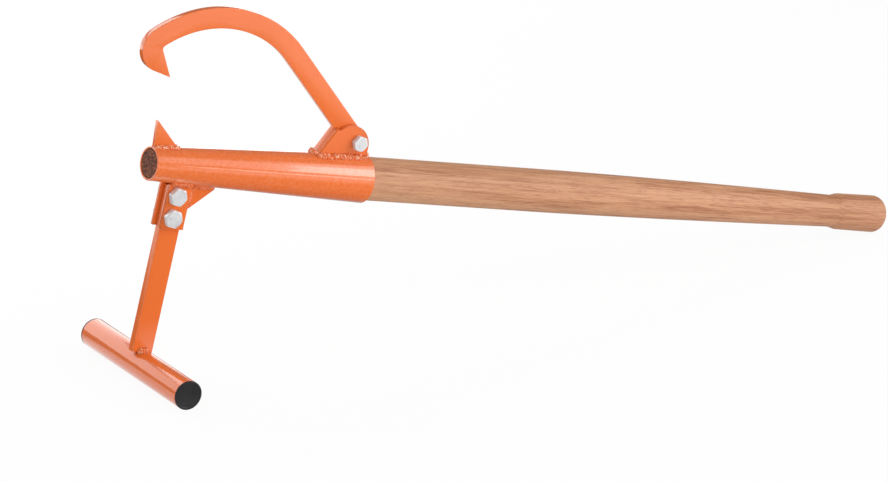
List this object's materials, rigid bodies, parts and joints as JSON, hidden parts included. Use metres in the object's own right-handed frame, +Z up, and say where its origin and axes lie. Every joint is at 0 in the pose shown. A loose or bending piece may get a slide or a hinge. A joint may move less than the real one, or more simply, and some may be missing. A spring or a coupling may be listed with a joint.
{
  "type": "log lifter",
  "caption": "Wooden lever in a conical steel socket with a swinging hook and nose spike that grip a log, and a bolted T-shaped foot that props it off the ground.",
  "frame": {"origin": "middle of the box's underside: the ground under the middle of the tool as it stands on its foot bar and grip end", "axes": "+X from the hook and foot towards the grip end, along the ground; +Y across the tool, along the foot bar, away from the bolt heads; +Z up"},
  "size_m": [1.1794, 0.25, 0.4899],
  "materials": {
    "orange_paint": "gloss powder coat",
    "wood": "turned hardwood, thin clear oil",
    "zinc": "bright zinc plate",
    "black_plastic": "matte moulded"
  },
  "bodies": {
    "lever": {"handle": "wood", "socket_tube": "orange_paint", "nose_spike": "orange_paint", "hook_bracket": "orange_paint", "hook_bolt": "zinc", "hook_washer": "zinc", "hook_nut": "zinc", "foot_bracket": "orange_paint", "bracket_gusset": "orange_paint", "foot_leg": "orange_paint", "leg_bolts": "zinc", "leg_nuts": "zinc", "foot_bar": "orange_paint", "foot_cap_near": "black_plastic", "foot_cap_far": "black_plastic", "spike_weld": "orange_paint", "hook_bracket_weld": "orange_paint", "hook_bracket_toe_weld": "orange_paint", "foot_bracket_weld": "orange_paint", "gusset_weld": "orange_paint", "leg_weld": "orange_paint"},
    "hook": {"hook": "orange_paint"}
  },
  "joints": [
    {"name": "hook_pivot", "type": "hinge", "parent": "lever", "child": "hook", "pos_m": [-0.25504, 0, 0.27233], "axis": [0, 1, 0], "range_deg": [0, 140]}
  ]
}
